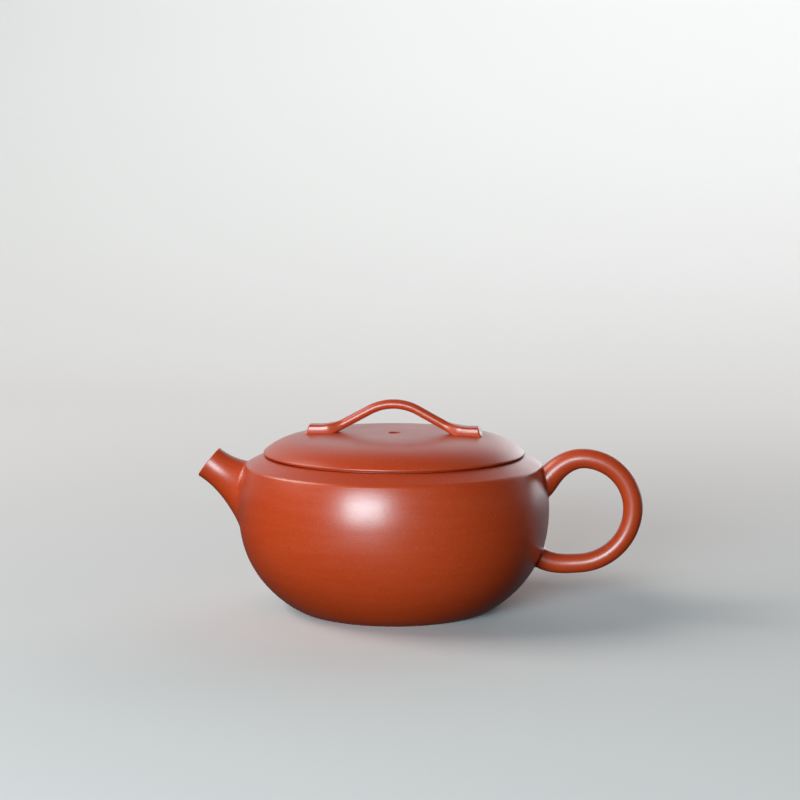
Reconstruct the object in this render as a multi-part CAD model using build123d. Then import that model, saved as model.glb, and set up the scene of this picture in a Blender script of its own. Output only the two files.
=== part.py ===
"""Low round teapot of fine red stoneware, made of eleven clay pieces luted together.

The pot is built up from slabs: a base disc, a beaten wall, a shoulder disc and a mouth collar.
A short flared spout with a ball strainer behind it, and a round ear handle, are luted to the wall.
The lid is a plate ring, a domed skin, a locating flange and a bridge knob.
Origin: on the pot's axis in the plane it stands on. +X towards the handle, +Z up. Millimetres.
"""
import os
from math import atan2, cos, degrees, hypot, radians, sin, sqrt

from build123d import *

# Driving dimensions of the pot
BELLY_R = 48.4  # widest radius of the wall
BELLY_Z = 31.4  # height of the widest place
FOOT_R = 31.0  # radius where the wall turns under onto the table
EDGE_R, EDGE_Z = 46.0, 44.8  # the shoulder's edge, a soft crease round the pot
WALL_T = 2.6  # wall thickness
LID_R = 40.4  # radius where the lid's dome meets its rounded rim
LID_TOP = 54.35  # height of the lid's crown
MOUTH_R = 33.9  # bore of the mouth collar

# Base and wall
BASE_R = 29.0
BASE_TOP = 4.2
BASE_RIM_LIFT, BASE_CROWN_LIFT = 0.8, 1.5  # the underside is pressed in, so the pot stands on a ring
FLOOR_R = 31.5  # the flat inside floor
WALL_TOP = 44.0
WALL_POINTS = 9
FOOT_ROUNDING = 0.9
LOWER_FULLNESS, UPPER_FULLNESS, INNER_FULLNESS = 2.35, 2.0, 2.3

# Shoulder and mouth
SEAT_R, SEAT_Z = 40.6, 47.35  # top of the sloping shoulder
COLLAR_R = 38.4
SHOULDER_TOP, SHOULDER_UNDER = 47.5, 45.1
COLLAR_UNDER, COLLAR_TOP = 44.6, 47.9
EDGE_ROUNDING = 0.45
COLLAR_ROUNDING = 0.35

# Lid
LID_UNDER = 48.05
DOME_POWER = 6.3
RIM_Z = 48.84  # height where the dome ends
RIM_ROUNDING = 0.45
SKIN_T = 2.3
LUTE_GAP = 0.01
PLATE_TOP = 49.6
PLATE_R, PLATE_BORE_R = 38.4, 31.0
HOLLOW_R = 36.6
FLANGE_R, FLANGE_BORE_R, FLANGE_END_Z = 33.6, 31.0, 40.0
FLANGE_TAPER = 0.5
VENT_R, VENT_LIP = 1.6, 1.0

# Bridge knob
BRIDGE_TOP = 64.7
ROD_HALF_H, ROD_HALF_W = 1.4, 1.7
CROWN_BEND_R, FOOT_BEND_R = 16.0, 17.0
ARM_SLOPE = 28.5
PAD_START, PAD_END, PAD_TOP, PAD_HALF_W = 18.6, 27.6, 56.25, 4.2
PAD_DRAFT, PAD_ROUNDING = 14.0, 0.6
TOE_DEPTH = 0.2  # how far the rod's end lies below the flattened end's top

# Ear handle
EAR_X, EAR_Z = 57.75, 30.9  # centre of the ring
EAR_LEAN = 0.06  # how far the ring leans outwards for each millimetre up
EAR_OUTER_R, EAR_INNER_R = 19.4, 13.4
EAR_FIRST, EAR_LAST = -143.0, 163.0  # degrees round the ring, from the lower root to the upper one
EAR_STATIONS = 14
EAR_HALF_W, UPPER_ROOT_WIDER, LOWER_ROOT_WIDER = 3.0, 0.9, 0.4

# Spout: each line is a start, a pull and an end in the plane y = 0
SPOUT_TOP_LINE = ((-55.2, 48.35), (-50.8, 44.8), (-44.6, 44.2))
SPOUT_UNDER_LINE = ((-62.0, 39.6), (-52.35, 33.9), (-45.6, 17.0))
SPOUT_STATIONS = 7
SPOUT_MOUTH_HALF_W, SPOUT_ROOT_HALF_W = 4.8, 10.5
SPOUT_LIP_T, SPOUT_ROOT_T = 1.4, 3.4
STRAINER_Z, STRAINER_R, STRAINER_T = 32.0, 7.9, 1.5
STRAINER_SLIP = 0.02
STRAINER_HOLE_R = 1.0
STRAINER_RINGS = ((0.0, 1), (26.0, 6), (50.0, 11), (73.0, 15))  # angle off the axis, number of holes


def smoothstep(t):
    """0 below t = 0, 1 above t = 1, and a smooth rise between."""
    t = min(max(t, 0.0), 1.0)
    return t * t * (3 - 2 * t)


def wall_radius(z):
    """Outer radius of the pot at height z: two superellipse arcs that meet at the belly."""
    if z < BELLY_Z:
        end_r, reach, fullness = FOOT_R, BELLY_Z, LOWER_FULLNESS
    else:
        end_r, reach, fullness = EDGE_R, EDGE_Z - BELLY_Z, UPPER_FULLNESS
    drop = 1 - (end_r / BELLY_R) ** 2
    return BELLY_R * sqrt(1 - drop * (abs(z - BELLY_Z) / reach) ** fullness)


def cavity_radius(z):
    """Inner radius of the wall at height z."""
    if z > BELLY_Z:
        return wall_radius(z) - WALL_T
    widest = BELLY_R - WALL_T
    drop = 1 - (FLOOR_R / widest) ** 2
    return widest * sqrt(1 - drop * ((BELLY_Z - z) / (BELLY_Z - BASE_TOP)) ** INNER_FULLNESS)


def dome_height(r, rim_r, rim_z, rise):
    """Height of a lid surface at radius r: nearly flat in the middle, steepest at the rim."""
    return rim_z + rise * (1 - (r / rim_r) ** DOME_POWER)


def outline_up(radius_at, low, high, count):
    """A smooth outline from height low to height high."""
    heights = [low + (high - low) * i / (count - 1) for i in range(count)]
    return Spline(*[(radius_at(z), z) for z in heights])


def dome_outline(rim_r, rim_z, rise, count=12):
    """A lid surface's outline from its crown to its rim, with its points closer at the rim."""
    radii = [rim_r * sin(radians(90 * i / (count - 1))) for i in range(count)]
    return Spline(*[(r, dome_height(r, rim_r, rim_z, rise)) for r in radii])


def turned(*edges):
    """The solid that a closed outline of (radius, height) sweeps round the pot's axis."""
    return revolve(Plane.XZ * make_face(Curve() + list(edges)), Axis.Z)


def rings_at(solid, radius, height):
    """The round edges of a turned solid at one radius and height."""
    return [
        e
        for e in solid.edges().filter_by(GeomType.CIRCLE)
        if abs(e.radius - radius) < 0.01 and abs(e.center().Z - height) < 0.01
    ]


def pot_envelope():
    """The pot's outside filled in, which the spout and handle are luted against."""
    wall = outline_up(wall_radius, 0, WALL_TOP, WALL_POINTS)
    top = Polyline(wall @ 1, (EDGE_R, EDGE_Z), (SEAT_R, SEAT_Z), (0, SEAT_Z), (0, 0), wall @ 0)
    return turned(wall, top)


def lid_envelope():
    """The lid's outside filled in, which the bridge stands on, a hair above the dome itself."""
    dome = dome_outline(LID_R, RIM_Z + LUTE_GAP, LID_TOP - RIM_Z)
    return turned(dome, Polyline(dome @ 1, (0, RIM_Z), dome @ 0))


def strainer_bore(radius, start_x, end_x):
    """A level round plug through the wall behind the spout."""
    plane = Plane(origin=(start_x, 0, STRAINER_Z), z_dir=(1, 0, 0))
    return extrude(plane * Circle(radius), end_x - start_x)


def base_disc():
    """The disc that closes the bottom, pressed in from below."""
    under = ThreePointArc(
        (-BASE_R, BASE_RIM_LIFT), (0, BASE_CROWN_LIFT), (BASE_R, BASE_RIM_LIFT)
    ).trim(0.5, 1)
    return turned(under, Polyline(under @ 1, (BASE_R, BASE_TOP), (0, BASE_TOP), under @ 0))


def body_wall():
    """The beaten wall, turned under at the foot, with the hole that the strainer fills."""
    outer = outline_up(wall_radius, 0, WALL_TOP, WALL_POINTS)
    inner = outline_up(cavity_radius, BASE_TOP, WALL_TOP, WALL_POINTS)
    lip = Line(outer @ 1, inner @ 1)
    foot = Polyline(inner @ 0, (BASE_R, BASE_TOP), (BASE_R, 0), outer @ 0)
    wall = turned(outer, lip, inner, foot)
    wall = fillet(rings_at(wall, FOOT_R, 0), FOOT_ROUNDING)
    return wall - strainer_bore(STRAINER_R + STRAINER_SLIP, -BELLY_R - WALL_T, -BELLY_R + 4 * WALL_T)


def shoulder_disc():
    """The disc on top of the wall: a soft edge, then a slope up to the mouth."""
    wall_r = wall_radius(WALL_TOP)
    inner_r = wall_r - WALL_T
    disc = turned(
        Polyline(
            (inner_r, WALL_TOP),
            (wall_r, WALL_TOP),
            (EDGE_R, EDGE_Z),
            (SEAT_R, SEAT_Z),
            (COLLAR_R, SHOULDER_TOP),
            (COLLAR_R, SHOULDER_UNDER),
            (inner_r, WALL_TOP),
        )
    )
    return fillet(rings_at(disc, EDGE_R, EDGE_Z), EDGE_ROUNDING)


def mouth_collar():
    """The ring round the mouth that the lid rests on."""
    outline = Circle(COLLAR_R) - Circle(MOUTH_R)
    ring = extrude(Plane.XY.offset(COLLAR_UNDER) * outline, COLLAR_TOP - COLLAR_UNDER)
    lips = rings_at(ring, MOUTH_R, COLLAR_TOP) + rings_at(ring, COLLAR_R, COLLAR_TOP)
    return fillet(lips, COLLAR_ROUNDING)


def bend(line, t):
    """The point at t on a curved line given by its start, its pull and its end."""
    (x0, z0), (x1, z1), (x2, z2) = line
    a, b, c = (1 - t) ** 2, 2 * t * (1 - t), t * t
    return a * x0 + b * x1 + c * x2, a * z0 + b * z1 + c * z2


def upright_oval(top, under, half_w):
    """An oval face across the plane y = 0 between two points of that plane."""
    (tx, tz), (ux, uz) = top, under
    height = hypot(tx - ux, tz - uz)
    plane = Plane(
        origin=((tx + ux) / 2, 0, (tz + uz) / 2),
        x_dir=(0, 1, 0),
        z_dir=(-(tz - uz) / height, 0, (tx - ux) / height),
    )
    return plane * Ellipse(half_w, height / 2)


def spout_body(wall_at):
    """The spout's outside, or its bore when wall_at gives a wall thickness to leave."""
    ovals = []
    for i in range(SPOUT_STATIONS):
        t = i / (SPOUT_STATIONS - 1)
        (tx, tz), (ux, uz) = bend(SPOUT_TOP_LINE, t), bend(SPOUT_UNDER_LINE, t)
        inset = wall_at(t) / hypot(tx - ux, tz - uz)
        top = (tx + (ux - tx) * inset, tz + (uz - tz) * inset)
        under = (ux - (ux - tx) * inset, uz - (uz - tz) * inset)
        half_w = SPOUT_MOUTH_HALF_W + (SPOUT_ROOT_HALF_W - SPOUT_MOUTH_HALF_W) * t**2
        ovals.append(upright_oval(top, under, half_w - wall_at(t)))
    return loft(ovals)


def spout():
    """A short flared spout, luted to the wall round the strainer."""
    outside = spout_body(lambda t: 0.0)
    bore = spout_body(lambda t: SPOUT_LIP_T + (SPOUT_ROOT_T - SPOUT_LIP_T) * t)
    lip = extrude(bore.faces().sort_by(Axis.X)[0], 1.0)
    return outside - bore - lip - pot_envelope()


def spout_strainer():
    """A pierced ball of clay set in the wall, bulging into the pot."""
    bore_r = STRAINER_R - STRAINER_T
    band = -2 * WALL_T
    cap = turned(
        Polyline((bore_r, 0), (bore_r, band), (STRAINER_R, band), (STRAINER_R, 0)),
        RadiusArc((STRAINER_R, 0), (0, STRAINER_R), -STRAINER_R),
        Line((0, STRAINER_R), (0, bore_r)),
        RadiusArc((0, bore_r), (bore_r, 0), bore_r),
    )
    for tilt, count in STRAINER_RINGS:
        for k in range(count):
            pin = Pos(0, 0, STRAINER_R - STRAINER_T / 2) * Cylinder(STRAINER_HOLE_R, 2 * STRAINER_T)
            cap = cap - Rot(0, 0, 360 * k / count) * Rot(0, tilt, 0) * pin
    return Pos(WALL_T - BELLY_R, 0, STRAINER_Z) * Rot(0, 90, 0) * cap & pot_envelope()


def ear_radii(angle):
    """Outer and inner radius of the ear at an angle: it thickens and opens out at its roots."""
    outer = EAR_OUTER_R - 1.1 * smoothstep((angle - 95) / 45) + 2.5 * smoothstep((-angle - 85) / 48)
    inner = EAR_INNER_R - 3.3 * smoothstep((angle - 85) / 60) + 2.2 * smoothstep((-angle - 85) / 55)
    return outer, inner + 1.2 * smoothstep((angle - 148) / 20)


def handle():
    """A round ear of rolled clay, thicker where it leaves the shoulder."""
    ovals = []
    for i in range(EAR_STATIONS):
        angle = EAR_FIRST + (EAR_LAST - EAR_FIRST) * i / (EAR_STATIONS - 1)
        outer, inner = ear_radii(angle)
        away = (cos(radians(angle)), sin(radians(angle)))
        half_w = EAR_HALF_W + UPPER_ROOT_WIDER * smoothstep((angle - 95) / 55)
        half_w += LOWER_ROOT_WIDER * smoothstep((-angle - 95) / 40)
        far, near = [
            (EAR_X + r * (away[0] + EAR_LEAN * away[1]), EAR_Z + r * away[1]) for r in (outer, inner)
        ]
        ovals.append(upright_oval(far, near, half_w))
    return loft(ovals) - pot_envelope()


def lid_dome():
    """The domed skin of the lid with its round rim and the vent hole in its crown."""
    outer = dome_outline(LID_R, RIM_Z, LID_TOP - RIM_Z)
    fall = outer % 1
    rim = JernArc(outer @ 1, fall, RIM_ROUNDING, -180 - degrees(atan2(fall.Y, fall.X)))
    inner = dome_outline(HOLLOW_R, PLATE_TOP, LID_TOP - SKIN_T - PLATE_TOP)
    ledge = Polyline(rim @ 1, (PLATE_R, LID_UNDER), (PLATE_R, PLATE_TOP), inner @ 1)
    crown = Line(inner @ 0, outer @ 0)
    dome = turned(outer, rim, ledge, inner, crown) - Pos(0, 0, LID_TOP) * Cylinder(VENT_R, 4 * SKIN_T)
    lip = [e for e in dome.edges() if e.center().Z > LID_TOP - 0.2 and e.length < 4 * VENT_R * 2]
    return fillet(lip, VENT_LIP)


def lid_plate():
    """The flat ring that the dome is luted to; its underside rests on the collar."""
    ring = Circle(PLATE_R) - Circle(PLATE_BORE_R)
    return extrude(Plane.XY.offset(LID_UNDER) * ring, PLATE_TOP - LID_UNDER)


def lid_flange():
    """The ring under the lid that centres it in the mouth."""
    return turned(
        Polyline(
            (FLANGE_BORE_R, LID_UNDER),
            (FLANGE_R, LID_UNDER),
            (FLANGE_R - FLANGE_TAPER / 2, FLANGE_END_Z),
            (FLANGE_BORE_R + FLANGE_TAPER, FLANGE_END_Z),
            (FLANGE_BORE_R, LID_UNDER),
        )
    )


def bridge_arm():
    """Half of the bridge: a rolled rod from the crown of the arch down to one foot."""
    crown_z = BRIDGE_TOP - ROD_HALF_H
    crown_bend = JernArc((0, crown_z), (1, 0), CROWN_BEND_R, -ARM_SLOPE)
    pad_middle = PAD_TOP - TOE_DEPTH - ROD_HALF_H
    turn_height = FOOT_BEND_R * (1 - cos(radians(ARM_SLOPE)))
    start = crown_bend @ 1
    fall = start.Y - pad_middle - turn_height
    run = fall * cos(radians(ARM_SLOPE)) / sin(radians(ARM_SLOPE))
    arm = Line(start, (start.X + run, start.Y - fall))
    foot_bend = JernArc(arm @ 1, arm % 1, FOOT_BEND_R, ARM_SLOPE)
    toe = Line(foot_bend @ 1, (PAD_END - 2 * PAD_ROUNDING, pad_middle))
    path = Plane.XZ * (Curve() + [crown_bend, arm, foot_bend, toe])
    crown = Plane(origin=(0, 0, crown_z), z_dir=(1, 0, 0), x_dir=(0, 1, 0))
    return sweep(crown * Ellipse(ROD_HALF_W, ROD_HALF_H), path)


def bridge_pad():
    """The flattened end of the bridge, wider towards the lid."""
    base_z = PAD_TOP - 5.0
    outline = Plane.XY.offset(base_z) * Pos((PAD_START + PAD_END) / 2, 0) * Rectangle(
        PAD_END - PAD_START, 2 * PAD_HALF_W
    )
    pad = extrude(outline, PAD_TOP - base_z, taper=PAD_DRAFT)
    return fillet(pad.faces().sort_by(Axis.Z)[-1].edges(), PAD_ROUNDING)


def bridge_knob():
    """The arched bridge on the lid, its flattened ends luted to the dome."""
    half = bridge_arm() + bridge_pad()
    return half + mirror(half, Plane.YZ) - lid_envelope()


NODES = {
    "base_disc": base_disc,
    "body_wall": body_wall,
    "shoulder_disc": shoulder_disc,
    "mouth_collar": mouth_collar,
    "spout": spout,
    "spout_strainer": spout_strainer,
    "handle": handle,
    "lid_dome": lid_dome,
    "lid_plate": lid_plate,
    "lid_flange": lid_flange,
    "bridge_knob": bridge_knob,
}

os.makedirs("parts", exist_ok=True)
for name, make in NODES.items():
    export_step(make(), f"parts/{name}.step")
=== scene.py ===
"""Low round teapot of fine red stoneware, dressed for looking at.

Every piece of clay is a surface worked out from the pot's own sizes, in metres, with the origin on
the pot's axis in the plane it stands on, +Z up and +X towards the handle.
"""
import logging
from dataclasses import dataclass, field
from enum import Enum

import bmesh
import bpy
import numpy as np
from mathutils import Matrix


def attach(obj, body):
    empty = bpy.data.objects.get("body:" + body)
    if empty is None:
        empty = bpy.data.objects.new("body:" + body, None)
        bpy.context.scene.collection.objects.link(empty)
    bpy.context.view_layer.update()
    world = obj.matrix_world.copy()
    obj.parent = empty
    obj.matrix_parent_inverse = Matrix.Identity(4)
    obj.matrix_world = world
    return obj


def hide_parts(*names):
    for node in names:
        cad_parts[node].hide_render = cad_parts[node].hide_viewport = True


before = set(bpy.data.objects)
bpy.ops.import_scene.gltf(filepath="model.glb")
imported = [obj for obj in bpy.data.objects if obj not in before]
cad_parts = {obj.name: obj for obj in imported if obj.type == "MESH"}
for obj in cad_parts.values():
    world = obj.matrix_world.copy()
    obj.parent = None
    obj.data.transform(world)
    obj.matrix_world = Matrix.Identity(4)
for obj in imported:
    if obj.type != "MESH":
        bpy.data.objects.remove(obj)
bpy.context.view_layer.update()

Array = np.ndarray
MM = 0.001
log = logging.getLogger("teapot")


class Body(Enum):
    """The moving bodies that pieces ride on."""

    POT = "pot"
    CARRIER = "lid_carrier"
    LID = "lid"


class Slot(Enum):
    """The finishes that the record names."""

    BURNISHED = "burnished_clay"
    SCRAPED = "scraped_clay"
    RAW = "raw_clay"


# ---------------------------------------------------------------------------------------------
# Lines and surfaces


def smoothstep(t: Array) -> Array:
    """0 below t = 0, 1 above t = 1 and 3t² - 2t³ between."""
    t = np.clip(t, 0.0, 1.0)
    return t * t * (3 - 2 * t)


def rounded(corners: Array, radii: Array, closed: bool = False, steps: int = 9) -> Array:
    """Round the corners of a line of (radius, height) points.

    Each corner of radius q becomes the arc that touches both its runs: the arc starts q / tan(half
    the corner's angle) from the corner and is stepped evenly by angle.

    Args:
        corners: The line's corner points, one per row.
        radii: The rounding at each corner, 0 for a sharp one.
        closed: Whether the last point joins the first.
        steps: Points on each arc.

    Returns:
        The rounded line's points, without repeats.
    """
    corners = np.asarray(corners, float)
    radii = np.asarray(radii, float)
    into = np.roll(corners, 1, 0) - corners
    out = np.roll(corners, -1, 0) - corners
    if not closed:
        into[0], out[-1] = -out[0], -into[-1]
    into /= np.linalg.norm(into, axis=1, keepdims=True)
    out /= np.linalg.norm(out, axis=1, keepdims=True)
    half = np.arccos(np.clip((into * out).sum(1), -0.999999, 0.999999)) / 2
    reach = (radii / np.tan(half))[:, None]
    middle = into + out
    middle /= np.maximum(np.linalg.norm(middle, axis=1, keepdims=True), 1e-9)
    centre = corners + middle * (radii / np.sin(half))[:, None]
    start, end = corners + into * reach - centre, corners + out * reach - centre
    sweep = (np.pi - 2 * half)[:, None, None]
    s = np.linspace(0, 1, steps)[None, :, None]
    arcs = (np.sin((1 - s) * sweep) * start[:, None] + np.sin(s * sweep) * end[:, None]) / np.sin(sweep)
    points = (centre[:, None] + arcs).reshape(-1, 2)
    step = np.linalg.norm(np.diff(points, axis=0, prepend=points[:1] + 1.0), axis=1)
    points = points[step > 1e-7]
    if closed and np.linalg.norm(points[0] - points[-1]) < 1e-7:
        points = points[:-1]
    return points


def stepped(line: Array, step: float, closed: bool = False) -> Array:
    """Add evenly spaced points on every run of a line that is longer than one step."""
    after = np.roll(line, -1, 0) if closed else line[1:]
    before = line if closed else line[:-1]
    count = np.maximum(np.ceil(np.linalg.norm(after - before, axis=1) / step).astype(int), 1)
    run = np.repeat(np.arange(len(count)), count)
    place = (np.arange(len(run)) - np.repeat(np.cumsum(count) - count, count)) / count[run]
    points = before[run] + (after - before)[run] * place[:, None]
    return points if closed else np.vstack([points, line[-1:]])


def between(line: Array, low: float, high: float) -> Array:
    """The part of a rising line of (radius, height) points between two heights, cut exactly there."""
    cuts = np.array([low, high])
    ends = np.stack([np.interp(cuts, line[:, 1], line[:, 0]), cuts], 1)
    inside = (line[:, 1] > low + 1e-6) & (line[:, 1] < high - 1e-6)
    return np.vstack([ends[:1], line[inside], ends[1:]])


def grid_faces(rows: int, columns: int, wrap_rows: bool, wrap_columns: bool) -> Array:
    """The four-sided faces of a grid of points numbered row by row."""
    i = np.arange(rows if wrap_rows else rows - 1)[:, None]
    j = np.arange(columns if wrap_columns else columns - 1)[None, :]
    i2, j2 = (i + 1) % rows, (j + 1) % columns
    corners = [i * columns + j, i * columns + j2, i2 * columns + j2, i2 * columns + j]
    return np.stack([c.ravel() for c in corners], 1)


def spun(line: Array, count: int) -> Array:
    """Turn a line of (radius, height) points round the axis: x = r cos a, y = r sin a, z = height."""
    a = np.linspace(0, 2 * np.pi, count, endpoint=False)[None, :]
    r, z = line[:, :1], line[:, 1:]
    return np.stack([r * np.cos(a), r * np.sin(a), z + 0 * a], -1)


def made(name: str, points: Array, faces: Array) -> bpy.types.Object:
    """A smooth closed piece from points and four-sided faces.

    Points that coincide are merged, which closes seams and poles, and the faces are turned outwards.

    Args:
        name: The piece's name.
        points: Points, in any grid shape whose last axis is x, y, z.
        faces: Point numbers, four to a face.

    Returns:
        The new object, linked to the scene.
    """
    mesh = bpy.data.meshes.new(name)
    mesh.from_pydata(points.reshape(-1, 3).tolist(), [], faces.tolist())
    work = bmesh.new()
    work.from_mesh(mesh)
    bmesh.ops.remove_doubles(work, verts=work.verts, dist=2e-7)
    bmesh.ops.dissolve_degenerate(work, edges=work.edges, dist=1e-8)
    bmesh.ops.recalc_face_normals(work, faces=work.faces)
    work.to_mesh(mesh)
    work.free()
    mesh.shade_smooth()
    mesh.set_sharp_from_angle(angle=np.radians(48))
    piece = bpy.data.objects.new(name, mesh)
    bpy.context.scene.collection.objects.link(piece)
    return piece


def placed(piece: bpy.types.Object, body: Body, node: str, clay: bpy.types.Material) -> None:
    """Hang a finished piece on its body in place of a node, with its finish.

    Args:
        piece: The finished object.
        body: The body it rides on.
        node: The node it stands for.
        clay: The material.
    """
    piece.data.materials.append(clay)
    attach(piece, body.value)
    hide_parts(node)
    log.info("%s: %d faces, rides on %s", piece.name, len(piece.data.polygons), body.value)


# ---------------------------------------------------------------------------------------------
# The clay


def grain_group() -> bpy.types.NodeTree:
    """Fine sand in the clay: pale specks, dark specks, slow colour drift and a rough height."""
    tree = bpy.data.node_groups.new("clay_grain", "ShaderNodeTree")
    tree.interface.new_socket("Coordinates", in_out="INPUT", socket_type="NodeSocketVector")
    for name in ("Pale specks", "Dark specks", "Drift", "Cloud", "Height"):
        tree.interface.new_socket(name, in_out="OUTPUT", socket_type="NodeSocketFloat")
    nodes, links = tree.nodes, tree.links
    start, end = nodes.new("NodeGroupInput"), nodes.new("NodeGroupOutput")

    def noise(scale: float, detail: float, rough: float = 0.55) -> bpy.types.Node:
        """A noise on the piece's own coordinates."""
        node = nodes.new("ShaderNodeTexNoise")
        node.inputs["Scale"].default_value = scale
        node.inputs["Detail"].default_value = detail
        node.inputs["Roughness"].default_value = rough
        links.new(start.outputs["Coordinates"], node.inputs["Vector"])
        return node

    def mapped(source: bpy.types.NodeSocket, low: float, high: float, to: str) -> None:
        """Send a value to an output, stretched so that low is 0 and high is 1."""
        node = nodes.new("ShaderNodeMapRange")
        node.interpolation_type = "SMOOTHSTEP"
        node.inputs["From Min"].default_value = low
        node.inputs["From Max"].default_value = high
        links.new(source, node.inputs["Value"])
        links.new(node.outputs["Result"], end.inputs[to])

    mapped(noise(2300, 2).outputs["Fac"], 0.60, 0.74, "Pale specks")
    mapped(noise(1900, 2).outputs["Fac"], 0.62, 0.78, "Dark specks")
    mapped(noise(55, 4).outputs["Fac"], 0.3, 0.7, "Drift")
    mapped(noise(14, 2).outputs["Fac"], 0.3, 0.7, "Cloud")
    fine, coarse = noise(2600, 3), noise(700, 2)
    blend = nodes.new("ShaderNodeMath")
    blend.operation = "MULTIPLY_ADD"
    blend.inputs[1].default_value = 0.6
    links.new(coarse.outputs["Fac"], blend.inputs[0])
    links.new(fine.outputs["Fac"], blend.inputs[2])
    links.new(blend.outputs[0], end.inputs["Height"])
    return tree


def tooling_group() -> bpy.types.NodeTree:
    """Faint marks left round the pot by the rib and the burnishing horn, as a mask and a height."""
    tree = bpy.data.node_groups.new("tool_marks", "ShaderNodeTree")
    tree.interface.new_socket("Coordinates", in_out="INPUT", socket_type="NodeSocketVector")
    for name in ("Strokes", "Height"):
        tree.interface.new_socket(name, in_out="OUTPUT", socket_type="NodeSocketFloat")
    nodes, links = tree.nodes, tree.links
    start, end = nodes.new("NodeGroupInput"), nodes.new("NodeGroupOutput")
    squeeze = nodes.new("ShaderNodeMapping")
    squeeze.inputs["Scale"].default_value = (0.12, 0.12, 1.0)
    links.new(start.outputs["Coordinates"], squeeze.inputs["Vector"])
    strokes = nodes.new("ShaderNodeTexNoise")
    strokes.inputs["Scale"].default_value = 420
    strokes.inputs["Detail"].default_value = 3
    links.new(squeeze.outputs["Vector"], strokes.inputs["Vector"])
    waves = nodes.new("ShaderNodeTexNoise")
    waves.inputs["Scale"].default_value = 60
    waves.inputs["Detail"].default_value = 1
    links.new(start.outputs["Coordinates"], waves.inputs["Vector"])
    spread = nodes.new("ShaderNodeMapRange")
    spread.inputs["From Min"].default_value = 0.35
    spread.inputs["From Max"].default_value = 0.65
    links.new(strokes.outputs["Fac"], spread.inputs["Value"])
    links.new(spread.outputs["Result"], end.inputs["Strokes"])
    total = nodes.new("ShaderNodeMath")
    total.operation = "MULTIPLY_ADD"
    total.inputs[1].default_value = 5.0
    links.new(waves.outputs["Fac"], total.inputs[0])
    links.new(strokes.outputs["Fac"], total.inputs[2])
    links.new(total.outputs[0], end.inputs["Height"])
    return tree


@dataclass(frozen=True)
class ClayFinish:
    """One way of finishing the clay's skin."""

    name: str
    ground: tuple[float, float, float]
    warm: tuple[float, float, float]
    pale: tuple[float, float, float]
    dark: tuple[float, float, float]
    speck_strength: float
    rough_low: float
    rough_high: float
    coat: float
    coat_rough: float
    grain_depth: float
    tool_depth: float

    def material(self, grain: bpy.types.NodeTree, tooling: bpy.types.NodeTree) -> bpy.types.Material:
        """Build the finish.

        Args:
            grain: The clay grain group.
            tooling: The tool mark group.

        Returns:
            A material that reads only the piece's own coordinates.
        """
        material = bpy.data.materials.new(self.name)
        material.use_nodes = True
        nodes, links = material.node_tree.nodes, material.node_tree.links
        shader = nodes["Principled BSDF"]
        shader.inputs["Coat Roughness"].default_value = self.coat_rough
        shader.inputs["Coat IOR"].default_value = 1.45
        shader.inputs["IOR"].default_value = 1.5
        place = nodes.new("ShaderNodeTexCoord")

        def using(tree: bpy.types.NodeTree) -> bpy.types.Node:
            """Place a group on the piece's own coordinates."""
            node = nodes.new("ShaderNodeGroup")
            node.node_tree = tree
            links.new(place.outputs["Object"], node.inputs["Coordinates"])
            return node

        sand, marks = using(grain), using(tooling)

        def tinted(base: bpy.types.NodeSocket | None, mask: bpy.types.NodeSocket, strength: float,
                   colour: tuple[float, float, float]) -> bpy.types.NodeSocket:
            """Lay a colour over another through a mask."""
            amount = nodes.new("ShaderNodeMath")
            amount.operation = "MULTIPLY"
            amount.inputs[1].default_value = strength
            links.new(mask, amount.inputs[0])
            mix = nodes.new("ShaderNodeMix")
            mix.data_type = "RGBA"
            links.new(amount.outputs[0], mix.inputs["Factor"])
            if base is None:
                mix.inputs[6].default_value = (*self.ground, 1)
            else:
                links.new(base, mix.inputs[6])
            mix.inputs[7].default_value = (*colour, 1)
            return mix.outputs[2]

        colour = tinted(None, sand.outputs["Cloud"], 0.55, self.warm)
        colour = tinted(colour, sand.outputs["Drift"], 0.25, self.ground)
        colour = tinted(colour, marks.outputs["Strokes"], 0.05, self.pale)
        colour = tinted(colour, sand.outputs["Pale specks"], self.speck_strength, self.pale)
        colour = tinted(colour, sand.outputs["Dark specks"], self.speck_strength, self.dark)
        links.new(colour, shader.inputs["Base Color"])

        rough = nodes.new("ShaderNodeMapRange")
        rough.inputs["To Min"].default_value = self.rough_low
        rough.inputs["To Max"].default_value = self.rough_high
        both = nodes.new("ShaderNodeMath")
        both.operation = "MULTIPLY_ADD"
        both.inputs[1].default_value = 0.5
        half = nodes.new("ShaderNodeMath")
        half.operation = "MULTIPLY"
        half.inputs[1].default_value = 0.5
        links.new(marks.outputs["Strokes"], half.inputs[0])
        links.new(sand.outputs["Drift"], both.inputs[0])
        links.new(half.outputs[0], both.inputs[2])
        links.new(both.outputs[0], rough.inputs["Value"])
        links.new(rough.outputs["Result"], shader.inputs["Roughness"])

        coat = nodes.new("ShaderNodeMapRange")
        coat.inputs["To Min"].default_value = self.coat
        coat.inputs["To Max"].default_value = self.coat * 0.8
        links.new(sand.outputs["Drift"], coat.inputs["Value"])
        links.new(coat.outputs["Result"], shader.inputs["Coat Weight"])

        tools = nodes.new("ShaderNodeBump")
        tools.inputs["Distance"].default_value = self.tool_depth
        links.new(marks.outputs["Height"], tools.inputs["Height"])
        bump = nodes.new("ShaderNodeBump")
        bump.inputs["Distance"].default_value = self.grain_depth
        links.new(sand.outputs["Height"], bump.inputs["Height"])
        links.new(tools.outputs["Normal"], bump.inputs["Normal"])
        links.new(bump.outputs["Normal"], shader.inputs["Normal"])
        return material


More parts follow.
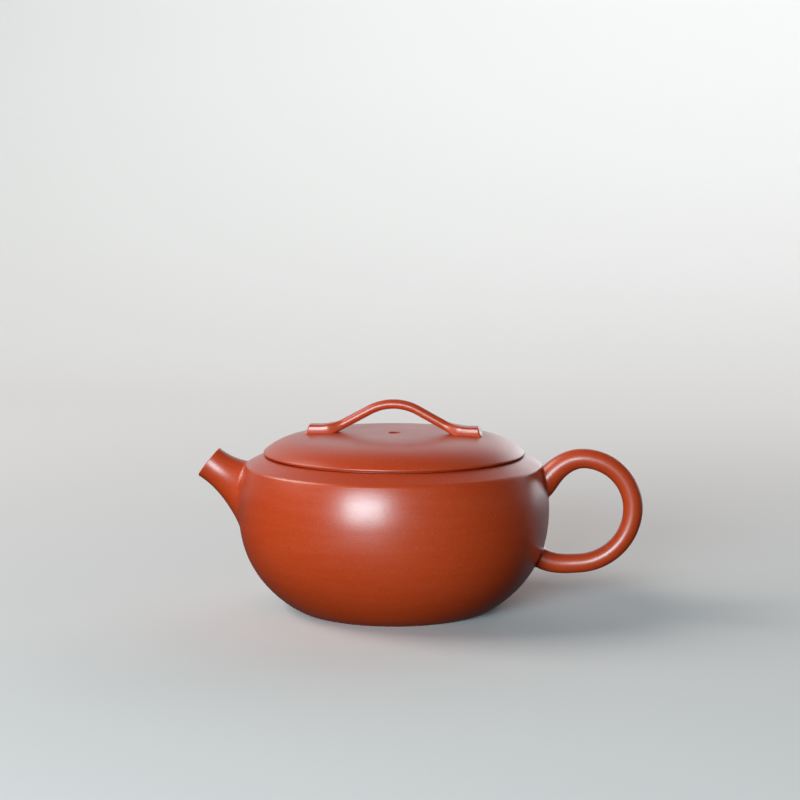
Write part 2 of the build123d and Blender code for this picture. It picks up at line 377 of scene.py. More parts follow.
class Clays:
    """The three finishes, made once and shared by every piece."""

    def __init__(self) -> None:
        """Build the shared groups and the materials."""
        grain, tooling = grain_group(), tooling_group()
        red = dict(ground=(0.51, 0.044, 0.007), warm=(0.56, 0.053, 0.009),
                   pale=(0.70, 0.15, 0.065), dark=(0.27, 0.024, 0.007))
        burnished = ClayFinish("burnished_clay", speck_strength=0.5, rough_low=0.34, rough_high=0.42,
                               coat=0.75, coat_rough=0.28, grain_depth=2.2e-5, tool_depth=7e-6, **red)
        scraped = ClayFinish("scraped_clay", speck_strength=0.5, rough_low=0.48, rough_high=0.62,
                             coat=0.05, coat_rough=0.4, grain_depth=1.6e-5, tool_depth=5e-5, **red)
        raw = ClayFinish("raw_clay", speck_strength=0.6, rough_low=0.58, rough_high=0.72,
                         coat=0.0, coat_rough=0.5, grain_depth=2.5e-5, tool_depth=3e-5, **red)
        self.finishes = {
            Slot.BURNISHED: burnished.material(grain, tooling),
            Slot.SCRAPED: scraped.material(grain, tooling),
            Slot.RAW: raw.material(grain, tooling),
        }

    def __getitem__(self, slot: Slot) -> bpy.types.Material:
        """The material for a slot."""
        return self.finishes[slot]


# ---------------------------------------------------------------------------------------------
# The pot


@dataclass
class Pot:
    """The slab-built body: wall, shoulder, mouth collar and base."""

    belly_r: float = 48.4 * MM
    belly_z: float = 31.4 * MM
    foot_r: float = 31.0 * MM
    edge_r: float = 46.0 * MM
    edge_z: float = 44.8 * MM
    wall_top: float = 44.0 * MM
    wall_t: float = 2.6 * MM
    lower_fullness: float = 2.35
    upper_fullness: float = 2.0
    inner_fullness: float = 2.3
    floor_r: float = 31.5 * MM
    base_r: float = 29.0 * MM
    base_top: float = 4.2 * MM
    foot_rounding: float = 0.9 * MM
    seat_r: float = 40.6 * MM
    seat_z: float = 47.6 * MM
    collar_r: float = 38.4 * MM
    mouth_r: float = 33.9 * MM
    edge_rounding: float = 1.6 * MM
    hole_z: float = 32.0 * MM
    hole_r: float = 7.92 * MM
    block_share: float = 0.034
    block_half_h: float = 10.5 * MM
    hole_rings: int = 8
    foot_inner_top: float = 3 * MM
    foot_inset: float = 0.4 * MM
    step: float = 0.6 * MM
    around: int = 360

    def wall_radius(self, z: Array) -> Array:
        """Outer radius at height z: two superellipse arcs that meet at the belly."""
        below = z < self.belly_z
        end_r = np.where(below, self.foot_r, self.edge_r)
        reach = np.where(below, self.belly_z, self.edge_z - self.belly_z)
        fullness = np.where(below, self.lower_fullness, self.upper_fullness)
        drop = 1 - (end_r / self.belly_r) ** 2
        part = np.clip(np.abs(z - self.belly_z) / reach, 0, 1.05)
        return self.belly_r * np.sqrt(1 - drop * part**fullness)

    def cavity_radius(self, z: Array) -> Array:
        """Inner radius at height z: the wall's thickness in above the belly, a fuller arc below."""
        widest = self.belly_r - self.wall_t
        drop = 1 - (self.floor_r / widest) ** 2
        part = np.clip((self.belly_z - z) / (self.belly_z - self.base_top), 0, 1)
        lower = widest * np.sqrt(1 - drop * part**self.inner_fullness)
        return np.where(z > self.belly_z, self.wall_radius(z) - self.wall_t, lower)

    def skin_line(self) -> Array:
        """The pot's outer line from the ring it stands on up to the lid's seat, edge rounded."""
        z = np.linspace(self.foot_rounding, self.wall_top - self.step, 140)
        wall = np.stack([self.wall_radius(z), z], 1)
        corners = np.vstack([wall, [[self.edge_r, self.edge_z], [self.seat_r, self.seat_z]]])
        radii = np.zeros(len(corners))
        radii[-2] = self.edge_rounding
        line = rounded(corners, radii, steps=12)
        return stepped(line, self.step)

    def nearest(self, points: Array) -> tuple[Array, Array, Array]:
        """How far points lie outside the pot.

        Every point is turned into (radius, height) and compared with each run of the outer line.

        Args:
            points: Points, last axis x, y, z.

        Returns:
            Signed distance outwards, the nearest skin point, and the skin's outward normal there.
        """
        line = self.skin_line()
        start, run = line[:-1], np.diff(line, axis=0)
        r = np.hypot(points[..., 0], points[..., 1])
        flat = np.stack([r, points[..., 2]], -1)
        gap = flat[..., None, :] - start
        t = np.clip((gap * run).sum(-1) / (run * run).sum(-1), 0, 1)
        apart = gap - t[..., None] * run
        which = (apart**2).sum(-1).argmin(-1)[..., None]
        t = np.take_along_axis(t, which, -1)
        foot = start[which[..., 0]] + t * run[which[..., 0]]
        slope = np.stack([np.gradient(line[:, 0]), np.gradient(line[:, 1])], -1)
        slope /= np.linalg.norm(slope, axis=1, keepdims=True)
        along = slope[which[..., 0]] * (1 - t) + slope[which[..., 0] + 1] * t
        out = np.stack([along[..., 1], -along[..., 0]], -1)
        distance = ((flat - foot) * out).sum(-1)
        turn = np.stack([points[..., 0], points[..., 1]], -1) / np.maximum(r, 1e-9)[..., None]
        skin = np.concatenate([turn * foot[..., :1], foot[..., 1:]], -1)
        normal = np.concatenate([turn * out[..., :1], out[..., 1:]], -1)
        return distance, skin, normal / np.linalg.norm(normal, axis=-1, keepdims=True)

    def wall(self) -> bpy.types.Object:
        """The beaten wall, a closed skin pierced by the strainer's round hole.

        The closed outline is spun. On the outer and the inner skin a block of faces round the hole
        gives way to rings that pass evenly from the block's edge to the hole, and a tube joins the
        two holes.
        """
        skin = between(self.skin_line(), self.foot_rounding, self.wall_top)
        foot = rounded([[self.base_r, self.foot_inner_top], [self.base_r, 0.0],
                        [self.foot_r - self.foot_inset, 0.0], skin[3]], [0, 0.3 * MM, 1.1 * MM, 0])
        z = np.linspace(self.wall_top, self.base_top, 70)
        inner = np.stack([self.cavity_radius(z), z], 1)
        line = np.vstack([stepped(foot, self.step), skin[4:], inner])
        line = line[np.r_[True, np.linalg.norm(np.diff(line, axis=0), axis=1) > 1e-6]]
        points = spun(line, self.around)
        faces = grid_faces(len(line), self.around, True, True)
        row, column = faces[:, 0] // self.around, faces[:, 0] % self.around
        half = int(self.around * self.block_share)
        opposite = self.around // 2
        sheets, extra, loops = [], [], []
        total = len(line) * self.around
        on_outer = np.arange(len(line)) < len(line) - len(inner)
        across = np.abs(column - opposite + 0.5) < half
        keep = np.ones(len(faces), bool)
        for outside in (True, False):
            in_block = np.abs(line[:, 1] - self.hole_z) < self.block_half_h
            rows = np.flatnonzero((on_outer == outside) & in_block)
            first, last = rows.min(), rows.max()
            keep &= ~((row >= first) & (row < last) & across)
            left, right = opposite - half, opposite + half
            j, i = np.arange(left, right), np.arange(first, last)
            rim = np.concatenate([first * self.around + j, i * self.around + right,
                                  last * self.around + j[::-1] + 1,
                                  i[::-1] * self.around + self.around + left])
            rim_points = points.reshape(-1, 3)[rim]
            angle = np.arctan2(rim_points[:, 2] - self.hole_z, rim_points[:, 1])
            circle = np.stack([self.hole_r * np.cos(angle), self.hole_z + self.hole_r * np.sin(angle)], -1)
            s = np.linspace(0, 1, self.hole_rings + 1)[1:, None, None]
            yz = rim_points[None, :, 1:] * (1 - s) + circle[None] * s
            reach = self.wall_radius(yz[..., 1]) if outside else self.cavity_radius(yz[..., 1])
            x = -np.sqrt(np.maximum(reach**2 - yz[..., 0] ** 2, 0))
            extra.append(np.concatenate([x[..., None], yz], -1))
            numbers = total + np.arange(self.hole_rings * len(rim)).reshape(self.hole_rings, -1)
            total += numbers.size
            ladder = np.vstack([rim[None], numbers])
            sheets.append(np.stack([ladder[:-1], np.roll(ladder[:-1], -1, 1),
                                    np.roll(ladder[1:], -1, 1), ladder[1:]], -1).reshape(-1, 4))
            loops.append((numbers[-1], extra[-1][-1]))
        (outer_loop, outer_ring), (inner_loop, inner_ring) = loops
        match = np.linalg.norm(outer_ring[:, None, 1:] - inner_ring[None, :, 1:], axis=-1).argmin(1)
        tube = np.stack([outer_loop, np.roll(outer_loop, -1), np.roll(inner_loop[match], -1),
                         inner_loop[match]], -1)
        everything = np.vstack([points.reshape(-1, 3)] + [e.reshape(-1, 3) for e in extra])
        return made("wall", everything, np.vstack([faces[keep]] + sheets + [tube]))

    def shoulder(self) -> bpy.types.Object:
        """The shoulder disc: the wall's soft edge, the slope to the seat and a plain underside."""
        top = between(self.skin_line(), self.wall_top, self.seat_z)
        inner_r = float(self.wall_radius(np.array(self.wall_top))) - self.wall_t
        rest = np.array([[self.collar_r, 47.5 * MM], [self.collar_r, 45.1 * MM], [inner_r, self.wall_top]])
        line = stepped(np.vstack([top, rest]), 0.7 * MM, closed=True)
        return made("shoulder", spun(line, self.around), grid_faces(len(line), self.around, True, True))

    def collar(self) -> bpy.types.Object:
        """The ring round the mouth, its two upper edges rounded."""
        line = rounded([[self.mouth_r, 44.6 * MM], [self.collar_r, 44.6 * MM], [self.collar_r, 47.9 * MM],
                        [self.mouth_r, 47.9 * MM]], np.array([0.25, 0.1, 0.35, 0.45]) * MM, closed=True)
        line = stepped(line, 0.5 * MM, closed=True)
        return made("collar", spun(line, 288), grid_faces(len(line), 288, True, True))

    def base(self) -> bpy.types.Object:
        """The base disc: flat inside, pressed in below by the square of the radius."""
        r = np.linspace(0, self.base_r, 46)
        under = np.stack([r, 1.5 * MM - 0.7 * MM * (r / self.base_r) ** 2], 1)
        top = np.stack([r[::-1], np.full(len(r), self.base_top)], 1)
        line = np.vstack([under, top])
        return made("base", spun(line, 288), grid_faces(len(line), 288, False, True))

    def build(self, clays: Clays) -> None:
        """Make and dress the four pieces of the body.

        Args:
            clays: The finishes.
        """
        placed(self.wall(), Body.POT, "body_wall", clays[Slot.BURNISHED])
        placed(self.shoulder(), Body.POT, "shoulder_disc", clays[Slot.BURNISHED])
        placed(self.collar(), Body.POT, "mouth_collar", clays[Slot.SCRAPED])
        placed(self.base(), Body.POT, "base_disc", clays[Slot.SCRAPED])


def bedded(tube: Array, pot: Pot, leave: Array, land: Array, steps: int = 12) -> Array:
    """Carry a tube's surface over onto the pot with a small fillet.

    Along each of the tube's lines the last place at height "leave" above the skin is found, and the
    place where the line meets the skin. The fillet is the bent line (1-s)²A + 2s(1-s)P + s²B from
    the first place A, pulled to the meeting place P, to B, which lies "land" further out on the skin.

    Args:
        tube: Grid of points, lines along axis 0 from the free end inwards, angles along axis 1.
        pot: The pot to land on.
        leave: Height above the skin where the fillet starts, one per angle.
        land: Distance from the meeting place to the fillet's edge, one per angle.
        steps: Points across the fillet.

    Returns:
        The grid cut off where the fillet starts, followed by the fillet and a tucked-in edge.
    """
    distance, _, _ = pot.nearest(tube)
    lines, angles = tube.shape[:2]
    which = np.arange(angles)

    def crossing(height: Array) -> tuple[Array, Array]:
        """Where each line comes down to a height: its place in the grid and the point."""
        above = distance > height[None]
        row = lines - 1 - above[::-1].argmax(0)
        row = np.minimum(row, lines - 2)
        d0, d1 = distance[row, which], distance[row + 1, which]
        t = np.clip((d0 - height) / (d0 - d1), 0, 1)
        point = tube[row, which] * (1 - t)[:, None] + tube[row + 1, which] * t[:, None]
        return row + t, point

    place_a, a = crossing(leave)
    place_p, p = crossing(np.zeros(angles))
    s = np.linspace(0, 1, lines)[:, None]
    at = s * place_a[None]
    low = np.minimum(np.floor(at).astype(int), lines - 2)
    kept = tube[low, which] * (1 - (at - low))[..., None] + tube[low + 1, which] * (at - low)[..., None]
    _, _, normal = pot.nearest(p)
    round_it = np.roll(p, -1, 0) - np.roll(p, 1, 0)
    outward = np.cross(round_it, normal)
    outward /= np.linalg.norm(outward, axis=1, keepdims=True)
    away = p - p.mean(0)
    outward *= np.sign((outward * away).sum(1, keepdims=True))
    _, b, b_normal = pot.nearest(p + outward * land[:, None])
    b = b + b_normal * 4e-6
    s = np.linspace(0, 1, steps + 1)[1:, None, None]
    fillet = (1 - s) ** 2 * a + 2 * s * (1 - s) * p + s**2 * b
    tuck = (b - b_normal * 2.5e-4 - outward * 2e-4)[None]
    return np.concatenate([kept, fillet, tuck])


@dataclass
class Spout:
    """The short flared spout with a fillet round its root and an open bore."""

    top_line: Array = field(
        default_factory=lambda: np.array([[-55.2, 48.35], [-50.8, 44.8], [-44.6, 44.2]]) * MM)
    under_line: Array = field(
        default_factory=lambda: np.array([[-62.0, 39.6], [-52.35, 33.9], [-45.6, 17.0]]) * MM)
    mouth_half_w: float = 4.8 * MM
    root_half_w: float = 10.5 * MM
    lip_t: float = 1.4 * MM
    root_t: float = 3.4 * MM
    lip_rounding: float = 0.35 * MM
    lip_faces: tuple[float, float, float] = (-0.79, 0.0, 0.61)
    leave_mm: float = 1.0
    leave_more_mm: float = 0.9
    land_mm: float = 1.1
    land_more_mm: float = 1.0
    stations: int = 60
    around: int = 160

    def ovals(self, t: Array, inset: Array) -> Array:
        """Upright ovals between the top line and the under line.

        The point at angle a of the oval at t is its middle, plus half its height times cos a along
        the line from under to top, plus its half width times sin a sideways.

        Args:
            t: Places along the spout, 0 at the mouth and 1 in the wall.
            inset: How far inside the outer skin each oval lies.

        Returns:
            Grid of points, one row per place.
        """
        t = t[:, None]

        def bent(line: Array) -> Array:
            """The line's point at each place: (1-t)²A + 2t(1-t)B + t²C."""
            return (1 - t) ** 2 * line[0] + 2 * t * (1 - t) * line[1] + t**2 * line[2]

        top, under = bent(self.top_line), bent(self.under_line)
        half = (top - under) / 2
        length = np.linalg.norm(half, axis=1, keepdims=True)
        half *= (length - inset[:, None]) / length
        wide = self.mouth_half_w + (self.root_half_w - self.mouth_half_w) * t**2 - inset[:, None]
        a = np.linspace(0, 2 * np.pi, self.around, endpoint=False)[None]
        middle = (top + under) / 2
        x = middle[:, :1] + half[:, :1] * np.cos(a)
        z = middle[:, 1:] + half[:, 1:] * np.cos(a)
        return np.stack([x, wide * np.sin(a), z], -1)

    def build(self, pot: Pot, clays: Clays) -> None:
        """Make and dress the spout.

        The fillet at its root is bigger below than above.

        Args:
            pot: The pot it is luted to.
            clays: The finishes.
        """
        t = np.linspace(0, 1, self.stations)
        outside = self.ovals(t, np.zeros(self.stations))
        a = np.linspace(0, 2 * np.pi, self.around, endpoint=False)
        down = (1 - np.cos(a)) / 2
        outside = bedded(outside, pot, (self.leave_mm + self.leave_more_mm * down) * MM,
                         (self.land_mm + self.land_more_mm * down) * MM)
        bore = self.ovals(t, self.lip_t + (self.root_t - self.lip_t) * t)
        distance, skin, _ = pot.nearest(bore)
        bore = np.where((distance < 0)[..., None], skin, bore)[::-1]
        turn = np.linspace(0, np.pi, 9)[1:-1]
        low, high = bore[-1][None], outside[:1]
        forward = np.array(self.lip_faces) * self.lip_rounding
        lip = (low + high) / 2 + (low - high) / 2 * np.cos(turn)[:, None, None]
        lip = lip + forward * np.minimum(np.sin(turn) * 1.6, 1.0)[:, None, None]
        points = np.concatenate([bore, lip, outside])
        piece = made("spout", points, grid_faces(len(points), self.around, True, True))
        placed(piece, Body.POT, "spout", clays[Slot.BURNISHED])


def swell(amount_mm: float, angle: Array, start: float, span: float) -> Array:
    """A thickening that sets in smoothly round the ear.

    Args:
        amount_mm: Its full size, in millimetres.
        angle: Angles in degrees.
        start: The angle where it begins.
        span: The angle over which it grows.

    Returns:
        Its size at each angle, in metres.
    """
    return amount_mm * MM * smoothstep((angle - start) / span)


@dataclass
class Handle:
    """The ear: a ring of rolled clay that thickens and opens at its roots."""

    x: float = 57.75 * MM
    z: float = 30.9 * MM
    lean: float = 0.06
    outer_r: float = 19.4 * MM
    inner_r: float = 13.4 * MM
    first: float = -143.0
    last: float = 163.0
    half_w: float = 3.0 * MM
    around: int = 72

    def ring(self, angle: Array) -> Array:
        """Ovals round the ear, each across the line out from its centre.

        Positive angles run over the top to the upper root, negative ones to the lower root.

        Args:
            angle: Angles in degrees.

        Returns:
            Grid of points, one row per angle.
        """
        outer = self.outer_r - swell(1.1, angle, 95, 45) + swell(2.5, -angle, 85, 48)
        inner = self.inner_r - swell(3.3, angle, 85, 60) + swell(2.2, -angle, 85, 55)
        inner = inner + swell(1.2, angle, 148, 20)
        wide = self.half_w + swell(0.9, angle, 95, 55) + swell(0.4, -angle, 95, 40)
        c, s = np.cos(np.radians(angle)), np.sin(np.radians(angle))
        away = np.stack([c + self.lean * s, s], -1)
        middle, half = (outer + inner)[:, None] / 2 * away, (outer - inner)[:, None] / 2 * away
        a = np.linspace(0, 2 * np.pi, self.around, endpoint=False)[None]
        x = self.x + middle[:, :1] + half[:, :1] * np.cos(a)
        z = self.z + middle[:, 1:] + half[:, 1:] * np.cos(a)
        return np.stack([x, wide[:, None] * np.sin(a), z], -1)

    def build(self, pot: Pot, clays: Clays) -> None:
        """Make and dress the ear.

        Args:
            pot: The pot it is luted to.
            clays: The finishes.
        """
        upper = bedded(self.ring(np.linspace(10, self.last + 6, 130)), pot,
                       np.full(self.around, 0.8 * MM), np.full(self.around, 0.9 * MM))
        lower = bedded(self.ring(np.linspace(10, self.first - 6, 130)), pot,
                       np.full(self.around, 0.7 * MM), np.full(self.around, 0.8 * MM))
        points = np.concatenate([lower[::-1], upper[1:]])
        ends = [np.repeat(row.mean(0, keepdims=True)[None], self.around, 1)
                for row in (points[0], points[-1])]
        points = np.concatenate([ends[0], points, ends[1]])
        piece = made("handle", points, grid_faces(len(points), self.around, False, True))
        placed(piece, Body.POT, "handle", clays[Slot.BURNISHED])


@dataclass
class Lid:
    """The lift-off lid: domed skin, plate ring, flange and bridge."""

    rim_r: float = 40.4 * MM
    rim_z: float = 48.84 * MM
    top: float = 54.35 * MM
    power: float = 6.3
    rim_rounding: float = 0.45 * MM
    under: float = 48.05 * MM
    skin_t: float = 2.3 * MM
    hollow_r: float = 36.6 * MM
    plate_top: float = 49.6 * MM
    plate_r: float = 38.4 * MM
    plate_bore_r: float = 31.0 * MM
    flange_r: float = 33.6 * MM
    flange_end: float = 40.0 * MM
    vent_r: float = 1.6 * MM
    vent_lip: float = 1.0 * MM
    around: int = 360

    def dome_height(self, r: Array) -> Array:
        """Height of the lid at radius r: rim height plus rise times 1 - (r / rim)^power."""
        return self.rim_z + (self.top - self.rim_z) * (1 - (r / self.rim_r) ** self.power)

    def hollow_height(self, r: Array) -> Array:
        """Height of the dome's inner side at radius r, by the same law with a lower crown."""
        rise = self.top - self.skin_t - self.plate_top
        return self.plate_top + rise * (1 - (r / self.hollow_r) ** self.power)

    def dome(self) -> bpy.types.Object:
        """The domed skin, from the vent's rounded lip over the rim and back inside."""
        r = self.vent_r + (self.rim_r - self.vent_r) * np.sin(np.linspace(0, np.pi / 2, 110))
        outer = np.stack([r, self.dome_height(r)], 1)
        outer = outer[outer[:, 0] > self.vent_r + 1.6 * self.vent_lip]
        fall = outer[-1] - outer[-2]
        start = np.arctan2(fall[1], fall[0]) + np.pi / 2
        turn = np.linspace(start, -np.pi / 2, 12)[1:]
        centre = outer[-1] - self.rim_rounding * np.array([np.cos(start), np.sin(start)])
        rim = centre + self.rim_rounding * np.stack([np.cos(turn), np.sin(turn)], 1)
        ledge = np.array([[self.plate_r + 0.01 * MM, rim[-1, 1]], [self.plate_r + 0.01 * MM, self.plate_top]])
        r = self.vent_r + (self.hollow_r - self.vent_r) * np.sin(np.linspace(np.pi / 2, 0, 60))
        inner = np.stack([r, self.hollow_height(r)], 1)
        vent = rounded([inner[-2], [self.vent_r, self.top - self.skin_t], [self.vent_r, self.top], outer[0]],
                       np.array([0, 0.25, 1.0, 0]) * MM)
        line = np.vstack([outer[1:], rim, ledge, inner[:-2], vent])
        line = stepped(line, 0.8 * MM, closed=True)
        return made("dome", spun(line, self.around), grid_faces(len(line), self.around, True, True))

    def plate(self) -> bpy.types.Object:
        """The flat ring that the dome is luted to."""
        corners = np.array([[self.plate_bore_r, self.under], [self.plate_r, self.under],
                            [self.plate_r, self.plate_top], [self.plate_bore_r, self.plate_top]])
        line = rounded(corners, np.array([0.3, 0.02, 0.02, 0.3]) * MM, closed=True)
        line = stepped(line, 0.6 * MM, closed=True)
        return made("plate", spun(line, 288), grid_faces(len(line), 288, True, True))

    def flange(self) -> bpy.types.Object:
        """The ring under the lid: slightly tapered, its lower edges rounded."""
        corners = np.array([[self.plate_bore_r, self.under], [self.flange_r, self.under],
                            [self.flange_r - 0.25 * MM, self.flange_end],
                            [self.plate_bore_r + 0.5 * MM, self.flange_end]])
        line = rounded(corners, np.array([0.02, 0.02, 0.5, 0.5]) * MM, closed=True)
        line = stepped(line, 0.5 * MM, closed=True)
        return made("flange", spun(line, 288), grid_faces(len(line), 288, True, True))

    def build(self, clays: Clays) -> None:
        """Make and dress the lid's turned pieces.

        Args:
            clays: The finishes.
        """
        placed(self.dome(), Body.LID, "lid_dome", clays[Slot.BURNISHED])
        placed(self.plate(), Body.LID, "lid_plate", clays[Slot.SCRAPED])
        placed(self.flange(), Body.CARRIER, "lid_flange", clays[Slot.SCRAPED])


@dataclass
class Bridge:
    """The arched bridge on the lid, with flattened ends that splay onto the dome."""

    crown_z: float = 63.3 * MM
    half_h: float = 1.48 * MM
    foot_half_h: float = 1.72 * MM
    half_w: float = 1.75 * MM
    crown_bend: float = 16.0 * MM
    foot_bend: float = 17.0 * MM
    slope: float = np.radians(28.5)
    foot_z: float = 54.95 * MM
    foot_end: float = 26.9 * MM
    foot_half_w: float = 3.05 * MM
    skirt: float = 0.9 * MM
    end_rounding: float = 0.45 * MM
    end_reach: float = 3.0 * MM
    end_lean: float = 0.25 * MM
    end_steps: int = 6
    foot_from: float = 15.5 * MM
    foot_span: float = 5.5 * MM
    squareness: float = 3.2
    around: int = 64

    def centre_line(self) -> Array:
        """Half the bridge's middle line: a round crown, a straight arm, a round turn, a level foot."""
        turn = self.foot_bend * (1 - np.cos(self.slope))
        crown = np.linspace(0, self.slope, 30)[:, None]
        arc = np.hstack([self.crown_bend * np.sin(crown), self.crown_z - self.crown_bend * (1 - np.cos(crown))])
        fall = arc[-1, 1] - self.foot_z - turn
        elbow = arc[-1] + fall * np.array([1 / np.tan(self.slope), -1.0])
        bend = np.linspace(self.slope, 0, 24)[1:, None]
        foot = elbow + np.hstack([self.foot_bend * (np.sin(self.slope) - np.sin(bend)),
                                  self.foot_bend * (np.cos(self.slope) - np.cos(bend))])
        end = np.array([[self.foot_end - self.end_rounding, self.foot_z]])
        return stepped(np.vstack([arc, foot, end]), 0.35 * MM)

    def build(self, lid: Lid, clays: Clays) -> None:
        """Carry a section along the middle line.

        The section is |y / w|^n + |h|^n = 1, round (n = 2) along the arm and squarer in the foot,
        where its lower half splays outwards. The last stations shrink round a small radius.

        Args:
            lid: The lid it stands on; not used.
            clays: The finishes.
        """
        line = self.centre_line()
        slope = np.stack([np.gradient(line[:, 0]), np.gradient(line[:, 1])], 1)
        slope /= np.linalg.norm(slope, axis=1, keepdims=True)
        foot = smoothstep((line[:, 0] - self.foot_from) / self.foot_span)
        turn = np.linspace(0, np.pi / 2, self.end_steps + 1)[1:]
        ends = np.stack([self.foot_end - self.end_rounding * (1 - np.sin(turn)),
                         np.full(self.end_steps, self.foot_z)], 1)
        shrink = np.r_[np.zeros(len(line)), self.end_rounding * (1 - np.cos(turn))][:, None]
        line = np.vstack([line, ends])
        slope = np.vstack([slope, np.repeat(slope[-1:], self.end_steps, 0)])
        foot = np.r_[foot, np.ones(self.end_steps)][:, None]
        a = np.linspace(0, 2 * np.pi, self.around, endpoint=False)[None]
        power = 2 / (2 + self.squareness * foot)
        side = np.sign(np.cos(a)) * np.abs(np.cos(a)) ** power
        rise = np.sign(np.sin(a)) * np.abs(np.sin(a)) ** power
        wide = self.half_w + (self.foot_half_w - self.half_w) * foot - shrink
        high = self.half_h + (self.foot_half_h - self.half_h) * foot - shrink * 0.9
        splay = foot * self.skirt * np.clip(0.25 - rise, 0, 1) ** 1.5
        y = side * (wide + splay)
        up = rise * high
        near_end = smoothstep((line[:, :1] - self.foot_end + self.end_reach) / self.end_reach)
        x = line[:, :1] - slope[:, 1:] * up + splay * (shrink > 0) * 0.6 - rise * self.end_lean * near_end
        z = line[:, 1:] + slope[:, :1] * up
        half = np.stack([x, y, z], -1)
        cap = np.repeat(half[-1].mean(0)[None, None], self.around, 1)
        half = np.concatenate([half, cap])
        mirror = half[::-1] * np.array([-1, 1, 1])
        points = np.concatenate([mirror[:-1], half])
        piece = made("bridge", points, grid_faces(len(points), self.around, False, True))
        placed(piece, Body.LID, "bridge_knob", clays[Slot.BURNISHED])


@dataclass
class Strainer:
    """The pierced ball behind the spout keeps its own shape and takes the raw clay."""

    node: str = "spout_strainer"

    def build(self, clays: Clays) -> None:
        """Dress the strainer.

        Args:
            clays: The finishes.
        """
        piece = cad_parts[self.node]
        piece.data.materials.clear()
        piece.data.materials.append(clays[Slot.RAW])
        log.info("%s: keeps its own shape", self.node)


# ---------------------------------------------------------------------------------------------
# The room


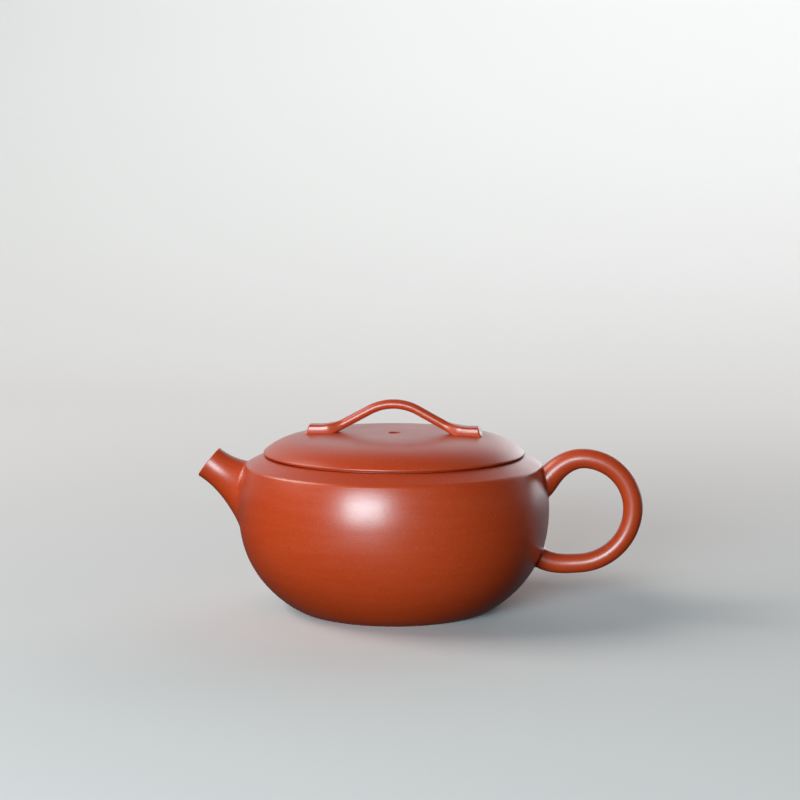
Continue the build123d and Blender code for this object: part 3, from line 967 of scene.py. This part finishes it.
@dataclass
class Studio:
    """A pale floor that curves up behind, soft lights and the camera."""

    camera_at: tuple[float, float, float] = (0.0678, -0.5519, 0.1278)
    yaw: float = 0.003277
    pitch: float = 0.11325
    roll: float = 0.00112
    azimuth: float = np.radians(7.0)
    lens: float = 81.0

    def camera(self) -> None:
        """Aim the camera: forward from yaw and pitch, then rolled, all turned by the azimuth."""
        forward = np.array([np.sin(self.yaw) * np.cos(self.pitch), np.cos(self.yaw) * np.cos(self.pitch),
                            -np.sin(self.pitch)])
        right = np.array([np.cos(self.yaw), -np.sin(self.yaw), 0.0])
        up = np.cross(right, forward)
        across = np.cos(self.roll) * right + np.sin(self.roll) * up
        above = -np.sin(self.roll) * right + np.cos(self.roll) * up
        c, s = np.cos(self.azimuth), np.sin(self.azimuth)
        turn = np.array([[c, -s, 0], [s, c, 0], [0, 0, 1]])
        axes = np.stack([turn @ across, turn @ above, -turn @ forward], 1)
        lens = bpy.data.cameras.new("camera")
        lens.lens, lens.sensor_width, lens.clip_start, lens.clip_end = self.lens, 36.0, 0.01, 20.0
        eye = bpy.data.objects.new("camera", lens)
        matrix = np.eye(4)
        matrix[:3, :3], matrix[:3, 3] = axes, self.camera_at
        eye.matrix_world = Matrix(matrix.tolist())
        bpy.context.scene.collection.objects.link(eye)
        bpy.context.scene.camera = eye

    def floor(self) -> None:
        """A pale sheet: flat under the pot, sweeping up into a wall far behind it.

        The camera sees it, but reflections, bounced light and shadow rays don't, so it neither
        lights the pot from below nor shows in the clay.
        """
        y = np.linspace(-1.6, 1.2, 60)
        bend = np.clip((y - 0.55) / 0.45, 0, None)
        z = 0.45 * np.where(bend < 1, 1 - np.sqrt(np.clip(1 - bend**2, 0, 1)), 1 + (bend - 1) * 2.2)
        y = np.minimum(y, 1.0)
        x = np.linspace(-2.0, 2.0, 30)
        points = np.stack(np.broadcast_arrays(x[None], y[:, None], z[:, None]), -1)
        sheet = bpy.data.meshes.new("floor")
        sheet.from_pydata(points.reshape(-1, 3).tolist(), [], grid_faces(60, 30, False, False).tolist())
        sheet.shade_smooth()
        floor = bpy.data.objects.new("floor", sheet)
        bpy.context.scene.collection.objects.link(floor)
        paper = bpy.data.materials.new("paper")
        paper.use_nodes = True
        shader = paper.node_tree.nodes["Principled BSDF"]
        shader.inputs["Base Color"].default_value = (0.82, 0.79, 0.77, 1)
        shader.inputs["Roughness"].default_value = 0.75
        sheet.materials.append(paper)
        floor.visible_glossy = False
        floor.visible_diffuse = False
        floor.visible_shadow = False

    def lamp(self, name: str, at: tuple[float, float, float], size: tuple[float, float], watts: float,
             aim: tuple[float, float, float] = (0.0, 0.0, 0.03),
             colour: tuple[float, float, float] = (1.0, 1.0, 1.0)) -> None:
        """A soft square light.

        Args:
            name: The light's name.
            at: Where it stands.
            size: Its width and height.
            watts: Its power.
            aim: The point it faces.
            colour: Its colour.
        """
        light = bpy.data.lights.new(name, "AREA")
        light.shape, light.size, light.size_y, light.energy = "RECTANGLE", *size, watts
        light.color = colour
        lamp = bpy.data.objects.new(name, light)
        back = np.array(at) - np.array(aim)
        back /= np.linalg.norm(back)
        side = np.cross([0, 0, 1.0], back)
        side /= np.linalg.norm(side)
        matrix = np.eye(4)
        matrix[:3, :3] = np.stack([side, np.cross(back, side), back], 1)
        matrix[:3, 3] = at
        lamp.matrix_world = Matrix(matrix.tolist())
        bpy.context.scene.collection.objects.link(lamp)

    def build(self) -> None:
        """Put up the room, the lights and the camera."""
        self.camera()
        self.floor()
        self.lamp("window", at=(-0.24, -1.00, 0.225), size=(0.50, 0.38), watts=13.5,
                  colour=(0.70, 0.92, 1.0))
        self.lamp("skylight", at=(-0.95, 0.0, 0.8), size=(0.8, 0.6), watts=8.5,
                  colour=(1.0, 0.98, 0.95))
        self.lamp("wall_wash", at=(0.6, 0.45, 0.9), size=(1.8, 0.3), watts=11.0, aim=(0.6, 1.0, 0.62))
        world = bpy.data.worlds.new("room")
        bpy.context.scene.world = world
        world.use_nodes = True
        nodes, links = world.node_tree.nodes, world.node_tree.links
        glow = nodes["Background"]
        glow.inputs["Color"].default_value = (0.62, 0.62, 0.64, 1)
        place = nodes.new("ShaderNodeTexCoord")

        def lobe(towards: tuple[float, float, float], low: float, high: float, strength: float,
                 least: float = 0.0) -> bpy.types.NodeSocket:
            """A soft bright patch of room, by how far a direction points the patch's way.

            Args:
                towards: The patch's way.
                low: The dot product under which the room has its least light.
                high: The dot product over which it has its full strength.
                strength: The full strength.
                least: The least light.

            Returns:
                The light in a direction.
            """
            dot, spread = nodes.new("ShaderNodeVectorMath"), nodes.new("ShaderNodeMapRange")
            dot.operation = "DOT_PRODUCT"
            dot.inputs[1].default_value = towards
            spread.interpolation_type = "SMOOTHSTEP"
            for name, value in (("From Min", low), ("From Max", high),
                                ("To Min", least), ("To Max", strength)):
                spread.inputs[name].default_value = value
            links.new(place.outputs["Generated"], dot.inputs[0])
            links.new(dot.outputs["Value"], spread.inputs["Value"])
            return spread.outputs["Result"]

        def joined(kind: str, one: bpy.types.NodeSocket, other: bpy.types.NodeSocket) -> bpy.types.NodeSocket:
            """Add or multiply two values."""
            node = nodes.new("ShaderNodeMath")
            node.operation = kind
            links.new(one, node.inputs[0])
            links.new(other, node.inputs[1])
            return node.outputs[0]

        wall = joined("ADD", lobe((-0.05, 0.99, 0.05), 0.40, 0.90, 1.0, 0.04),
                      lobe((0.50, 0.86, 0.05), 0.80, 0.99, 3.0))
        above_floor = lobe((0.0, 0.0, 1.0), -0.12, 0.03, 1.0, 0.08)
        links.new(joined("MULTIPLY", wall, above_floor), glow.inputs["Strength"])
        bpy.context.scene.view_settings.view_transform = "Standard"


def main() -> None:
    """Build the teapot piece by piece, then the room."""
    logging.basicConfig(level=logging.INFO, format="%(name)s %(message)s")
    clays = Clays()
    pot, lid = Pot(), Lid()
    pot.build(clays)
    Strainer().build(clays)
    Spout().build(pot, clays)
    Handle().build(pot, clays)
    lid.build(clays)
    Bridge().build(lid, clays)
    Studio().build()


if __name__ == "__main__":
    main()
